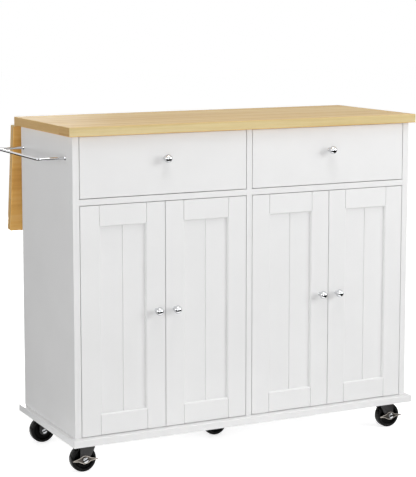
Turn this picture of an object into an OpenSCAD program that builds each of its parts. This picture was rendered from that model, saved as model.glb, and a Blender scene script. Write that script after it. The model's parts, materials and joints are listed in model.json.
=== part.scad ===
/* [Cabinet] */
// Height of the worktop's upper face above the floor
total_h = 910; // [880:1:950]
// Outside width across the two side panels
body_w = 1018; // [960:1:1100]
// Outside depth of the side panels
body_d = 378; // [360:1:420]
// Thickness of the side panels
side_t = 18; // [16:1:19]
// Thickness of the divider, rails and shelves
board_t = 16; // [15:1:18]
// Height of the rail's underside above the base board
rail_z = 608; // [560:1:620]
// Gap round every inset door and drawer front
gap = 1.7; // [1.5:0.1:2.5]

/* [Worktop and base board] */
// Thickness of the worktop and the drop leaf
top_t = 24; // [20:1:28]
// How far the worktop stands out past the side panels
over_side = 13; // [10:1:20]
// How far the worktop stands out past the front
over_front = 16; // [12:1:22]
// How far the worktop stands out past the back
over_back = 19.5; // [18:0.5:24]
// Thickness of the base board
base_t = 19; // [16:1:22]
// How far the base board stands out past the side panels
base_over_side = 12; // [8:1:20]
// How far the base board stands out past the front
base_over_front = 21; // [12:1:24]
// How far the base board stands out past the back
base_over_back = 17; // [10:1:20]
// Bevel on the edges of the worktop, leaf and base board
edge_bevel = 1.2; // [0.6:0.1:2]

/* [Doors and drawers] */
// Thickness of the door frames and drawer fronts
front_t = 18; // [16:1:19]
// Face width of the door stiles and rails
stile_w = 53; // [48:1:58]
// Depth of the door panel behind the face of its frame
recess = 7; // [6:0.5:8]
// Bevel round the inside of the door frame
sticking = 3; // [2:0.5:5]
// Height of the drawer box sides
drawer_side_h = 100; // [80:1:110]
// How far the drawers pull out
drawer_travel = 220; // [160:1:224]
// Diameter of the ball knobs
knob_d = 22; // [18:1:26]

/* [Drop leaf] */
// Length of the leaf from its hinged edge to its free edge
leaf_len = 300; // [296:1:340]
// Angle of the hanging leaf away from the vertical
leaf_hang = 8; // [6:1:12]
// Length of the support struts between their pivots
strut_len = 185; // [175:1:186]

/* [Casters] */
// Height of the casters from the floor to the underside of the base board
caster_h = 81; // [80:1:86]
// Diameter of the caster wheels
wheel_d = 70; // [64:1:70]
// Width of the caster wheels
wheel_w = 25; // [20:1:26]
// Distance of the wheel's axle from the swivel axis
trail = 10.5; // [8:0.5:14]

/* [Towel rail] */
// Diameter of the towel rail's rod
rod_d = 7; // [6:0.5:10]
// Distance of the rod's centre from the side panel
rod_reach = 75; // [60:1:90]
// Distance between the two ends of the rail
rail_span = 312; // [200:1:315]

/* [Hidden] */
$fn = 48;

// levels and faces of the cabinet, measured from the middle of its footprint
front_y = -body_d / 2;
back_y = body_d / 2;
inner_x = body_w / 2 - side_t;
bay_w = inner_x - board_t / 2;
bay_x = (inner_x + board_t / 2) / 2;
base_z = caster_h + base_t;
under_z = total_h - top_t;
panel_h = under_z - base_z;
rail_bottom = base_z + rail_z;
rail_top = rail_bottom + board_t;

// doors, numbered from the left: [carcass face they hang from, opening direction]
door_hang = [[-inner_x, 1], [-board_t / 2, -1], [board_t / 2, 1], [inner_x, -1]];
door_w = (bay_w - 3 * gap) / 2;
door_z = base_z + gap;
door_h = rail_bottom - gap - door_z;
panel_t = 6;
tongue = 7;
groove_slack = 0.1;
cup_r = 17.5;
cup_depth = 11.5;
cup_in = 22.5;
cup_heights = [90, door_h - 90];
door_knob_z = 317;
door_knob_in = stile_w / 2 - 1;

// drawers
drawer_front_z = rail_top + gap;
drawer_front_h = under_z - gap - drawer_front_z;
drawer_front_w = bay_w - 2 * gap;
drawer_side_t = 12;
drawer_box_w = bay_w - 2 * 13;
drawer_box_d = 320;
drawer_box_z = rail_top + 18;
drawer_bottom_t = 4;
drawer_bottom_up = 10;
drawer_knob_z = 96;

// drawer slides: outer channel on the cabinet, inner channel on the drawer
slide_len = 300;
slide_back = 4;
slide_z = drawer_box_z + 33;
slide_deep = 12.7;
outer_half = 17.5;
outer_wall = 1.2;
inner_half = 12.1;
ball_r = 2;
cage_len = slide_len - drawer_travel;
cage_start = drawer_travel / 2;
cage_t = 0.6;

// drop leaf: hinge axis, and the board's place from it along and across the leaf
knuckle_r = 2.7;
pin_drop = 3;
hinge_gap = 1;
leaf_pin_y = back_y + over_back + hinge_gap;
leaf_pin_z = under_z - pin_drop;
leaf_hinge_x = [-body_w * 0.36, 0, body_w * 0.36];
hinge_w = 60;
plate_t = 1.5;
leaf_pin_r = 1.5;
running = 0.05;

// support struts: wall pivot, sliding end under the leaf, and their angles at rest
strut_x = [-body_w * 0.25, body_w * 0.25];
strut_foot_y = back_y + 11;
strut_foot_z = leaf_pin_z - 106;
strut_under = 7;
strut_dy = leaf_pin_y - strut_foot_y;
strut_dz = leaf_pin_z - strut_foot_z;
// distance from the leaf's hinge axis to the sliding end when the leaf is level
slide_up = sqrt(pow(strut_len, 2) - pow(strut_dz - strut_under, 2)) - strut_dy;
// the same distance when the leaf hangs, from the cosine rule
hang_y = strut_dy - strut_under * cos(leaf_hang);
hang_z = strut_dz - strut_under * sin(leaf_hang);
hang_b = hang_y * sin(leaf_hang) - hang_z * cos(leaf_hang);
hang_c = pow(hang_y, 2) + pow(hang_z, 2) - pow(strut_len, 2);
slide_hang = -hang_b + sqrt(pow(hang_b, 2) - hang_c);
strut_rest = atan((hang_y + slide_hang * sin(leaf_hang))
    / (slide_hang * cos(leaf_hang) - hang_z));
strut_t = 4;
strut_w = 14;
strut_pin_r = 3;

// casters: [x, y, side the wheel trails to]
caster_in = 45;
caster_set = 38;
casters = [[-(body_w / 2 - caster_in), front_y + caster_set, -1],
    [body_w / 2 - caster_in, front_y + caster_set, 1],
    [-(body_w / 2 - caster_in), back_y - caster_set, -1],
    [body_w / 2 - caster_in, back_y - caster_set, 1],
    [0, 0, -1]];
caster_plate = 52;
caster_plate_t = 2.5;
race_h = 3;
race_r = 22;
crown_t = 2.5;
crown_r = 27;
crown_bend = 3;
crown_skirt = 3.5;
crown_z = caster_h - caster_plate_t - race_h - 0.3 - crown_t;
axle_z = wheel_d / 2;
axle_r = 4;
leg_in = wheel_w / 2 + 2;
leg_t = 2.5;

knob_stem = 8.5;

// the origin lies on the floor under the middle of the whole cart's bounding box
knob_reach = knob_stem + knob_d;
leaf_reach = leaf_pin_y + (hinge_gap + leaf_len - edge_bevel) * sin(leaf_hang)
    + (pin_drop + top_t) * cos(leaf_hang);
cart_x = (rod_reach + rod_d / 2 - over_side) / 2;
cart_y = -(leaf_reach + front_y - knob_reach) / 2;

// ---- helpers ----

module cart() {
    translate([cart_x, cart_y, 0]) children();
}

// Rectangle with its four corners cut off
module cut_rectangle(w, h, c) {
    polygon([[c, 0], [w - c, 0], [w, c], [w, h - c], [w - c, h], [c, h], [0, h - c], [0, c]]);
}

// Board from the origin to size, with all its edges bevelled
module bevelled_board(size, bevel) {
    intersection() {
        linear_extrude(size.z) cut_rectangle(size.x, size.y, bevel);
        translate([0, size.y, 0]) rotate([90, 0, 0])
            linear_extrude(size.y) cut_rectangle(size.x, size.z, bevel);
        rotate([90, 0, 90]) linear_extrude(size.x) cut_rectangle(size.y, size.z, bevel);
    }
}

// Child geometry at +x and its mirror image at -x
module both_sides() {
    children();
    mirror([1, 0, 0]) children();
}

// Extrusion of an outline drawn in x and z, from y = 0 towards +y
module extrude_y(length) {
    translate([0, length, 0]) rotate([90, 0, 0]) linear_extrude(length) children();
}

// Cylinder along +y from y = 0
module rod_y(length, radius) {
    rotate([-90, 0, 0]) cylinder(h = length, r = radius);
}

// ---- cabinet ----

module base_board() {
    color("white") cart()
        translate([-body_w / 2 - base_over_side, front_y - base_over_front, caster_h])
            bevelled_board([body_w + 2 * base_over_side, body_d + base_over_front + base_over_back,
                base_t], edge_bevel);
}

pin_r = 2.5;
pin_depth = 7;
pin_rows = [front_y + 60, back_y - 60];
shelf_z = base_z + 290;
pin_z = shelf_z - pin_r;
pin_levels = [pin_z - 64, pin_z, pin_z + 64];

// Blind holes for the shelf pins, opening towards +x from x = 0
module pin_holes() {
    for (y = pin_rows, z = pin_levels)
        translate([-pin_depth, y, z]) rotate([0, 90, 0])
            cylinder(h = pin_depth + 1, r = pin_r + 0.1);
}

back_t = 5;
back_set = 5;
rear_rail_h = 120;
back_groove = 5;

// Groove that holds the edge of a back panel, open towards +x from x = 0
module back_slot() {
    translate([-back_groove, back_y - back_set - back_t - groove_slack, base_z - 1])
        cube([back_groove + 1, back_t + 2 * groove_slack, panel_h - rear_rail_h + 1]);
}

module side_panel() {
    translate([-inner_x, 0, 0]) difference() {
        translate([-side_t, front_y, base_z]) bevelled_board([side_t, body_d, panel_h], 0.5);
        pin_holes();
        back_slot();
    }
}

module left_side() {
    color("white") cart() side_panel();
}

module right_side() {
    color("white") cart() mirror([1, 0, 0]) side_panel();
}

module centre_divider() {
    color("white") cart() difference() {
        translate([-board_t / 2, front_y, base_z]) bevelled_board([board_t, body_d, panel_h], 0.5);
        both_sides() translate([board_t / 2, 0, 0]) {
            pin_holes();
            back_slot();
        }
    }
}

module back_panels() {
    color("white") cart() both_sides()
        translate([board_t / 2 - back_groove, back_y - back_set - back_t, base_z])
            cube([bay_w + 2 * back_groove, back_t, panel_h - rear_rail_h]);
}

module rear_rails() {
    color("white") cart() both_sides()
        translate([board_t / 2, back_y - board_t, under_z - rear_rail_h])
            cube([bay_w, board_t, rear_rail_h]);
}

rail_d = 60;

module front_rails() {
    color("white") cart() both_sides() {
        translate([board_t / 2, front_y, rail_bottom]) cube([bay_w, rail_d, board_t]);
        translate([board_t / 2, front_y + front_t + gap, under_z - board_t])
            cube([bay_w, rail_d, board_t]);
    }
}

shelf_d = body_d - front_t - 12 - back_set - back_t;
shelf_slack = 1;

module shelves() {
    color("white") cart() both_sides()
        translate([board_t / 2 + shelf_slack, back_y - back_set - back_t - shelf_d, shelf_z])
            cube([bay_w - 2 * shelf_slack, shelf_d, board_t]);
}

module shelf_pins() {
    pin_len = pin_depth + 9;
    color("silver") cart() both_sides() for (y = pin_rows) {
        translate([board_t / 2 - pin_depth, y, pin_z]) rotate([0, 90, 0])
            cylinder(h = pin_len, r = pin_r);
        translate([inner_x + pin_depth, y, pin_z]) rotate([0, -90, 0])
            cylinder(h = pin_len, r = pin_r);
    }
}

// Cover over the bolt that joins each side panel to its front rail
module screw_caps() {
    color("white") cart() both_sides()
        translate([body_w / 2, front_y + 20, rail_bottom + board_t / 2]) rotate([0, 90, 0])
            cylinder(h = 0.8, r1 = 5.5, r2 = 4.8);
}

module worktop() {
    color("burlywood") cart()
        translate([-body_w / 2 - over_side, front_y - over_front, under_z])
            bevelled_board([body_w + 2 * over_side, body_d + over_front + over_back, top_t],
                edge_bevel);
}

// ---- towel rail ----

rail_front = 48;
rail_up = 727;
bend_r = 12;
flange_r = 5.5;
flange_t = 2.5;

module towel_rail() {
    straight = rod_reach - bend_r;
    color("silver") cart() translate([-body_w / 2, front_y + rail_front, base_z + rail_up]) {
        translate([-rod_reach, bend_r, 0]) rod_y(rail_span - 2 * bend_r, rod_d / 2);
        for (end = [0, 1]) translate([0, end * rail_span, 0]) mirror([0, end, 0]) {
            rotate([0, -90, 0]) cylinder(h = straight, r = rod_d / 2);
            translate([-straight, bend_r, 0]) rotate([0, 0, 180])
                rotate_extrude(angle = 90) translate([bend_r, 0]) circle(r = rod_d / 2);
            rotate([0, -90, 0]) cylinder(h = flange_t, r1 = flange_r, r2 = flange_r - 1);
        }
    }
}

// ---- drawer slides ----

// C-shaped channel section: web on the z axis at x = 0, lips towards +x
module channel_section(half, depth, wall) {
    polygon([[0, -half], [depth, -half], [depth, -half + wall], [wall, -half + wall],
        [wall, half - wall], [depth, half - wall], [depth, half], [0, half]]);
}

// Places children at each face of a bay that carries a slide, with +x into the bay
module at_slides(side) {
    translate([side * bay_x, front_y + front_t + slide_back, slide_z])
        both_sides() translate([-bay_w / 2, 0, 0]) children();
}

module slide_channels() {
    color("silver") cart() for (side = [-1, 1]) at_slides(side)
        extrude_y(slide_len) channel_section(outer_half, 10, outer_wall);
}

module drawer_runners(side) {
    color("silver") cart() at_slides(side) {
        translate([slide_deep, 0, 0]) mirror([1, 0, 0])
            extrude_y(slide_len) channel_section(inner_half, 9, outer_wall);
        translate([slide_deep, slide_len * 0.1, -8]) cube([0.3, slide_len * 0.8, 16]);
    }
}

// Retainer strip with its two rows of balls, between the outer and inner channels
module ball_cages(side) {
    row_z = (inner_half + outer_half - outer_wall) / 2;
    cage_x = 1.8;
    ball_x = 6.5;
    pitch = 10;
    color("gainsboro") cart() at_slides(side) translate([0, cage_start, 0]) {
        translate([cage_x, 0, 0]) extrude_y(cage_len)
            channel_section(row_z + cage_t / 2, 7, cage_t);
        for (row = [-row_z, row_z], y = [pitch / 2:pitch:cage_len - pitch / 2])
            translate([ball_x, y, row]) sphere(r = ball_r, $fn = 24);
    }
}

// ---- drawers ----

// Ball knob on a short stem, standing out from the origin towards -y
module knob() {
    ball = knob_d / 2;
    rotate([90, 0, 0]) {
        cylinder(h = 1.5, r = 5.8);
        translate([0, 0, 1.5]) cylinder(h = 1.5, r1 = 5.8, r2 = 4.8);
        cylinder(h = knob_stem + ball * 0.3, r = 4.5);
        translate([0, 0, knob_stem + ball]) sphere(r = ball);
    }
}

module drawer_front(side) {
    color("white") cart()
        translate([side * bay_x - drawer_front_w / 2, front_y, drawer_front_z])
            bevelled_board([drawer_front_w, front_t, drawer_front_h], 0.8);
}

module drawer_knob(side) {
    color("silver") cart()
        translate([side * bay_x, front_y, rail_top + drawer_knob_z]) knob();
}

module drawer_box(side) {
    half = drawer_box_w / 2;
    deep = drawer_box_d;
    in_groove = 6;
    side_gap = half - drawer_side_t;
    color("white") cart() translate([side * bay_x, front_y + front_t, drawer_box_z]) {
        // sides, grooved for the bottom
        both_sides() difference() {
            translate([side_gap, 0, 0]) cube([drawer_side_t, deep, drawer_side_h]);
            translate([side_gap - 1, -1, drawer_bottom_up - groove_slack])
                cube([in_groove + 1 + groove_slack, deep + 2, drawer_bottom_t + 2 * groove_slack]);
        }
        // back, standing on the bottom
        translate([-side_gap, deep - drawer_side_t, drawer_bottom_up + drawer_bottom_t])
            cube([2 * side_gap, drawer_side_t, drawer_side_h - drawer_bottom_up - drawer_bottom_t]);
        // bottom
        translate([-side_gap - in_groove, 0, drawer_bottom_up])
            cube([2 * (side_gap + in_groove), deep, drawer_bottom_t]);
    }
}

// ---- doors ----

// Places children at door number i: x runs from the hinge side of the opening across
// the door, y from its face to its back, z up from its bottom edge
module at_door(i) {
    hang = door_hang[i - 1];
    cart() translate([hang[0], front_y, door_z])
        if (hang[1] > 0) children();
        else mirror([1, 0, 0]) children();
}

// Section of a stile or rail: outer edge on x = 0, face on y = 0, with the inner bevel
// and the groove for the panel
module frame_section() {
    soft = 0.8;
    inner = stile_w + sticking;
    slot_front = recess - groove_slack;
    slot_back = recess + panel_t + groove_slack;
    polygon([[soft, 0], [stile_w, 0], [inner, sticking], [inner, slot_front],
        [inner - tongue - 1, slot_front], [inner - tongue - 1, slot_back], [inner, slot_back],
        [inner, front_t], [0, front_t], [0, soft]]);
}

module stile() {
    linear_extrude(door_h) frame_section();
}

// A stile at each long edge of the door
module stile_pair() {
    stile();
    translate([door_w, 0, 0]) mirror([1, 0, 0]) stile();
}

// Rail along the bottom edge, square ended at the joint lines
module rail_blank() {
    translate([stile_w, 0, 0]) rotate([90, 0, 90])
        linear_extrude(door_w - 2 * stile_w) mirror([1, -1]) frame_section();
}

// Section of a V groove cut into a face on y = 0
module v_groove(width, depth) {
    polygon([[-width, -depth], [0, depth], [width, -depth]]);
}

// Narrow V where a rail meets the stiles
module joint_lines(z) {
    for (x = [stile_w, door_w - stile_w])
        translate([x, 0, z]) linear_extrude(stile_w) v_groove(3, 2.6);
}

module door_frame(i) {
    color("white") at_door(i) translate([gap, 0, 0]) {
        difference() {
            stile_pair();
            for (z = cup_heights) translate([cup_in, front_t - cup_depth, z])
                rod_y(cup_depth + 1, cup_r);
            joint_lines(0);
            joint_lines(door_h - stile_w);
        }
        difference() {
            union() {
                rail_blank();
                translate([0, 0, door_h]) mirror([0, 0, 1]) rail_blank();
            }
            stile_pair();
            joint_lines(0);
            joint_lines(door_h - stile_w);
        }
    }
}

// Thin panel of two planks, shown by a V groove down its middle
module door_panel(i) {
    edge = stile_w + sticking - tongue;
    color("white") at_door(i) translate([gap, 0, 0]) difference() {
        translate([edge, recess, edge])
            cube([door_w - 2 * edge, panel_t, door_h - 2 * edge]);
        translate([door_w / 2, recess, edge - 1]) linear_extrude(door_h - 2 * edge + 2)
            v_groove(3.2, 2.4);
    }
}

module door_knob(i) {
    color("silver") at_door(i)
        translate([gap + door_w - door_knob_in, 0, door_knob_z]) knob();
}

// Hinge cup in the back of the stile, with its flange and two screws
module hinge_cups(i) {
    wall = 0.8;
    color("silver") at_door(i) for (z = cup_heights)
        translate([gap + cup_in, front_t, z]) {
            difference() {
                union() {
                    translate([0, -cup_depth + 0.2, 0]) rod_y(cup_depth, cup_r - running);
                    translate([-5, 0, -24]) cube([11, 1.2, 48]);
                }
                translate([0, -cup_depth + 0.2 + wall, 0]) rod_y(cup_depth + 3, cup_r - 1.2);
            }
            for (dz = [-21, 21]) translate([0.5, 1.2, dz]) rod_y(1, 3.5);
        }
}

// Fixed half of each hinge: a plate screwed to the cabinet and a cranked arm whose
// nose stands in the cup while the door is shut
module hinge_arms() {
    plate = [7, 52, 18];
    arm_w = 11;
    color("silver") for (i = [1:4]) at_door(i) for (z = cup_heights) {
        translate([0, front_t + 14, z]) {
            translate([0, 0, -plate.z / 2]) cube([plate.x, plate.y * 0.75, plate.z]);
            for (dz = [-14, 14]) translate([0, 22, dz]) rotate([0, 90, 0]) {
                cylinder(h = 2, r = 7);
                cylinder(h = 3.4, r = 4);
            }
        }
        translate([0, 0, z - arm_w / 2]) linear_extrude(arm_w)
            polygon([[7, front_t + 56], [12, front_t + 54], [12, front_t + 12],
                [17, front_t + 6.5], [27, front_t + 5], [27, front_t - 3.5],
                [19, front_t - 3.5], [19, front_t + 1.8], [12, front_t + 3.4],
                [7, front_t + 9]]);
    }
}

// ---- drop leaf ----

// Leaf frame: origin on the hinge axis, x along the axis, y from the hinge to the free
// edge, z towards the leaf's upper face, turned to the hanging position
module hanging_leaf() {
    cart() translate([0, leaf_pin_y, leaf_pin_z]) rotate([leaf_hang - 90, 0, 0]) children();
}

module leaf_board() {
    color("burlywood") hanging_leaf()
        translate([-body_w / 2 - over_side, hinge_gap, pin_drop])
            bevelled_board([body_w + 2 * over_side, leaf_len, top_t], edge_bevel);
}

knuckle_gap = 0.3;
knuckle_w = (hinge_w - 2 * knuckle_gap) / 3;

// Length of barrel along x, bored for the pin
module barrel(x, w, bore) {
    translate([x, 0, 0]) rotate([0, 90, 0]) difference() {
        cylinder(h = w, r = knuckle_r);
        translate([0, 0, -1]) cylinder(h = w + 2, r = bore);
    }
}

// Hinge plates under the worktop, each with two barrels and the pin
module leaf_hinge_plates() {
    plate_d = over_back - 1;
    color("silver") cart() for (x = leaf_hinge_x) translate([x, leaf_pin_y, leaf_pin_z]) {
        for (start = [-hinge_w / 2, hinge_w / 2 - knuckle_w]) {
            barrel(start, knuckle_w, leaf_pin_r);
            difference() {
                translate([start, -hinge_gap - 2, pin_drop - plate_t])
                    cube([knuckle_w, 3 + hinge_gap, plate_t - 0.3]);
                translate([start - 1, 0, 0]) rotate([0, 90, 0])
                    cylinder(h = knuckle_w + 2, r = leaf_pin_r);
            }
        }
        translate([-hinge_w / 2, 0, 0]) rotate([0, 90, 0])
            cylinder(h = hinge_w, r = leaf_pin_r);
        translate([-hinge_w / 2, -hinge_gap - plate_d, pin_drop - plate_t])
            cube([hinge_w, plate_d - 2, plate_t]);
    }
}

guide_in = 9;
guide_t = 2;
guide_deep = 15;

// Slotted channel under the leaf for the sliding end of a strut
module strut_guide() {
    from = slide_up - 12;
    long = slide_hang + 8 - from;
    slot_r = 3;
    translate([0, from, pin_drop]) {
        translate([-guide_in / 2 - 8, 0, -guide_t])
            cube([guide_in + 16, long, guide_t]);
        both_sides() difference() {
            translate([guide_in / 2, 0, -guide_deep]) cube([guide_t, long, guide_deep - guide_t]);
            translate([0, slide_up - from, -strut_under - pin_drop]) rotate([0, 90, 0])
                cylinder(h = guide_in, r = slot_r);
            translate([0, slide_hang - from, -strut_under - pin_drop]) rotate([0, 90, 0])
                cylinder(h = guide_in, r = slot_r);
            translate([0, slide_up - from, -strut_under - pin_drop - slot_r])
                cube([guide_in, slide_hang - slide_up, 2 * slot_r]);
        }
    }
}

// Moving hinge plates and strut guides, all screwed to the leaf's underside
module leaf_fittings() {
    plate_d = 28;
    color("silver") hanging_leaf() {
        for (x = leaf_hinge_x) translate([x, 0, 0]) {
            difference() {
                union() {
                    barrel(-knuckle_w / 2, knuckle_w, leaf_pin_r + running);
                    translate([-knuckle_w / 2, 0, pin_drop - plate_t])
                        cube([knuckle_w, 5, plate_t - 0.3]);
                }
                translate([-knuckle_w, 0, 0]) rotate([0, 90, 0])
                    cylinder(h = 2 * knuckle_w, r = leaf_pin_r + running);
            }
            translate([-hinge_w / 2, 3.6, pin_drop - plate_t]) cube([hinge_w, plate_d, plate_t]);
        }
        for (x = strut_x) translate([x, 0, 0]) strut_guide();
    }
}

// Wall plates with the two ears and the pin that each strut turns on
module strut_plates() {
    plate = [38, 2.5, 64];
    ear_t = 2.5;
    ear_in = strut_t / 2 + 0.4;
    color("silver") cart() for (x = strut_x)
        translate([x, back_y, strut_foot_z]) {
            translate([-plate.x / 2, 0, -12]) cube(plate);
            both_sides() translate([ear_in, 0, 0]) difference() {
                union() {
                    translate([0, 0, -8]) cube([ear_t, strut_foot_y - back_y, 16]);
                    translate([0, strut_foot_y - back_y, 0]) rotate([0, 90, 0])
                        cylinder(h = ear_t, r = 8);
                }
                translate([-1, strut_foot_y - back_y, 0]) rotate([0, 90, 0])
                    cylinder(h = ear_t + 2, r = strut_pin_r);
            }
            translate([-ear_in - ear_t - 1.5, strut_foot_y - back_y, 0]) rotate([0, 90, 0])
                cylinder(h = 2 * (ear_in + ear_t) + 3, r = strut_pin_r);
        }
}

// Strut hanging from its wall pivot, with a cross pin at its sliding end
module leaf_strut(x) {
    pin_len = guide_in - 1;
    color("silver") cart() translate([x, strut_foot_y, strut_foot_z])
        rotate([strut_rest, 0, 0]) difference() {
            union() {
                translate([-strut_t / 2, -strut_w / 2, -strut_len])
                    cube([strut_t, strut_w, strut_len]);
                for (z = [0, -strut_len]) translate([-strut_t / 2, 0, z]) rotate([0, 90, 0])
                    cylinder(h = strut_t, r = strut_w / 2);
                translate([-pin_len / 2, 0, -strut_len]) rotate([0, 90, 0])
                    cylinder(h = pin_len, r = 2.5);
            }
            translate([-strut_t, 0, 0]) rotate([0, 90, 0])
                cylinder(h = 2 * strut_t, r = strut_pin_r + running);
        }
}

// ---- casters ----

// Caster frame: origin on the floor under the swivel axis, -x towards the wheel's trail
module at_caster(place) {
    cart() translate([place[0], place[1], 0])
        if (place[2] < 0) children();
        else mirror([1, 0, 0]) children();
}

// Top plates with their swivel races, kingpins and screw heads
module caster_plates() {
    top = caster_h - caster_plate_t;
    screw = caster_plate / 2 - 6;
    color("dimgray") for (place = casters) at_caster(place) {
        translate([-caster_plate / 2, -caster_plate / 2, top])
            bevelled_board([caster_plate, caster_plate, caster_plate_t], 0.6);
        translate([0, 0, top - race_h]) cylinder(h = race_h, r1 = race_r, r2 = race_r - 3);
        translate([0, 0, crown_z - 1]) cylinder(h = top - crown_z, r = axle_r);
        translate([0, 0, crown_z - 2.3]) cylinder(h = 2, r1 = 5, r2 = 6.5);
        for (x = [-screw, screw], y = [-screw, screw]) translate([x, y, top - 2.2])
            cylinder(h = 2.2, r1 = 2.4, r2 = 4);
    }
}

// Pressed cup of the fork: flat top with the kingpin's hole, round shoulder, short skirt
module crown() {
    bend = [crown_r - crown_bend, crown_t - crown_bend];
    inner = crown_r - crown_t;
    bore = axle_r + running;
    translate([0, 0, crown_z]) rotate_extrude(convexity = 4) polygon(concat(
        [[bore, 0], [inner - 1, 0], [inner, -1], [inner, -crown_skirt], [crown_r, -crown_skirt]],
        [for (a = [0:22.5:90]) bend + crown_bend * [cos(a), sin(a)]],
        [[bore, crown_t]]));
}

// Outline of a fork leg: as broad as the cup at its top, straight down behind, and
// sloping in front to the round eye that holds the axle
module leg_outline() {
    eye = 12;
    difference() {
        union() {
            polygon([[-trail - eye, axle_z], [-trail - eye, crown_z - 6], [-20, crown_z],
                [20, crown_z], [18, crown_z - 9], [9.5, axle_z + 12], [-trail + eye, axle_z + 3],
                [-trail, axle_z]]);
            translate([-trail, axle_z]) circle(r = eye);
        }
        translate([-trail, axle_z]) circle(r = axle_r);
    }
}

module caster_fork(k) {
    proud = k < 2 ? 3.2 : 0;
    leg_out = leg_in + leg_t;
    head = 4.6;
    head_r = 7.2;
    slot = 1.8;
    color("#2a2a2c") at_caster(casters[k]) {
        crown();
        for (y = [-leg_out, leg_in]) translate([0, y, 0]) extrude_y(leg_t) leg_outline();
        // axle bolt with its slotted head in front and its nut behind
        translate([-trail, -leg_out - proud, axle_z]) {
            rod_y(2 * leg_out + proud, axle_r);
            difference() {
                translate([0, -head, 0]) union() {
                    rod_y(head, head_r - 1);
                    translate([0, 1, 0]) rod_y(head - 1, head_r);
                }
                rotate([0, 20, 0]) translate([-head_r - 1, -head - 1, -slot / 2])
                    cube([2 * head_r + 2, slot + 1, slot]);
            }
        }
        translate([-trail, leg_out, axle_z]) rotate([-90, 0, 0])
            cylinder(h = 4, r = 7.5, $fn = 6);
    }
}

// Section of the wheel: x is the radius, y runs across its width
module wheel_section() {
    r = wheel_d / 2;
    w = wheel_w / 2;
    hub = leg_in - 0.3;
    half = [[axle_r + running, hub], [9, hub], [10.5, w - 5], [r - 9.5, w - 5],
        [r - 7.5, w - 0.8], [r - 5, w], [r - 2, w - 1.2], [r - 0.5, w - 4], [r, w - 8]];
    flipped = [for (i = [len(half) - 1:-1:0]) [half[i].x, -half[i].y]];
    polygon(concat(half, flipped));
}

module caster_wheel(k) {
    color("#161616") at_caster(casters[k]) translate([-trail, 0, axle_z]) rotate([90, 0, 0])
        rotate_extrude($fn = 64) wheel_section();
}

// Pressed brake lever, free on the axle bolt outside the fork: a round hub with two
// pointed wings, whose ends are bent away from the fork
module caster_brake(k) {
    tip = 36;
    hub = 11.5;
    sheet = 2;
    bend = 4;
    flat = 18;
    half = [[-tip, 0.9], [-26, 2.8], [-17, 4.6], [-11, 8], [-5, 10.6], [0, hub], [5, 10.6],
        [11, 8], [17, 4.6], [26, 2.8], [tip, 0.9]];
    color("silver") at_caster(casters[k])
        translate([-trail, -leg_in - leg_t - 0.4 - sheet, axle_z]) difference() {
            intersection() {
                translate([0, -bend - 1, 0]) extrude_y(sheet + bend + 2) polygon(concat(half,
                    [for (i = [len(half) - 1:-1:0]) [half[i].x, -half[i].y]]));
                translate([0, 0, -hub - 1]) linear_extrude(2 * hub + 2)
                    polygon([[-tip - 1, -bend], [-flat, 0], [flat, 0], [tip + 1, -bend],
                        [tip + 1, sheet - bend], [flat, sheet], [-flat, sheet],
                        [-tip - 1, sheet - bend]]);
            }
            translate([0, -1, 0]) rod_y(sheet + 2, axle_r + running);
        }
}

base_board();
left_side();
right_side();
centre_divider();
back_panels();
rear_rails();
front_rails();
shelves();
shelf_pins();
worktop();
towel_rail();
screw_caps();
slide_channels();
hinge_arms();
caster_plates();
leaf_hinge_plates();
strut_plates();
drawer_front(-1);  // drawer_left_front
drawer_box(-1);  // drawer_left_box
drawer_runners(-1);  // drawer_left_runners
drawer_knob(-1);  // drawer_left_knob
drawer_front(1);  // drawer_right_front
drawer_box(1);  // drawer_right_box
drawer_runners(1);  // drawer_right_runners
drawer_knob(1);  // drawer_right_knob
ball_cages(-1);  // ball_cages_left
ball_cages(1);  // ball_cages_right
door_frame(1);  // door_1_frame
door_panel(1);  // door_1_panel
door_knob(1);  // door_1_knob
hinge_cups(1);  // door_1_hinge_cups
door_frame(2);  // door_2_frame
door_panel(2);  // door_2_panel
door_knob(2);  // door_2_knob
hinge_cups(2);  // door_2_hinge_cups
door_frame(3);  // door_3_frame
door_panel(3);  // door_3_panel
door_knob(3);  // door_3_knob
hinge_cups(3);  // door_3_hinge_cups
door_frame(4);  // door_4_frame
door_panel(4);  // door_4_panel
door_knob(4);  // door_4_knob
hinge_cups(4);  // door_4_hinge_cups
leaf_board();
leaf_fittings();
leaf_strut(strut_x[0]);  // leaf_strut_left
leaf_strut(strut_x[1]);  // leaf_strut_right
caster_fork(0);  // caster_fl_fork
caster_wheel(0);  // caster_fl_wheel
caster_brake(0);  // caster_fl_brake
caster_fork(1);  // caster_fr_fork
caster_wheel(1);  // caster_fr_wheel
caster_brake(1);  // caster_fr_brake
caster_fork(2);  // caster_bl_fork
caster_wheel(2);  // caster_bl_wheel
caster_fork(3);  // caster_br_fork
caster_wheel(3);  // caster_br_wheel
caster_fork(4);  // caster_mid_fork
caster_wheel(4);  // caster_mid_wheel
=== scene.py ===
"""Kitchen island cart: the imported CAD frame, dressed in lacquer, oak, chrome, zinc and rubber."""
import json
import logging
import math
from dataclasses import dataclass, field
from enum import Enum

import bmesh
import bpy
from bmesh.types import BMEdge, BMesh, BMFace, BMVert
from bpy.types import Material, Node, NodeSocket, NodeTree, Object
from mathutils import Matrix, Vector


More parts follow.
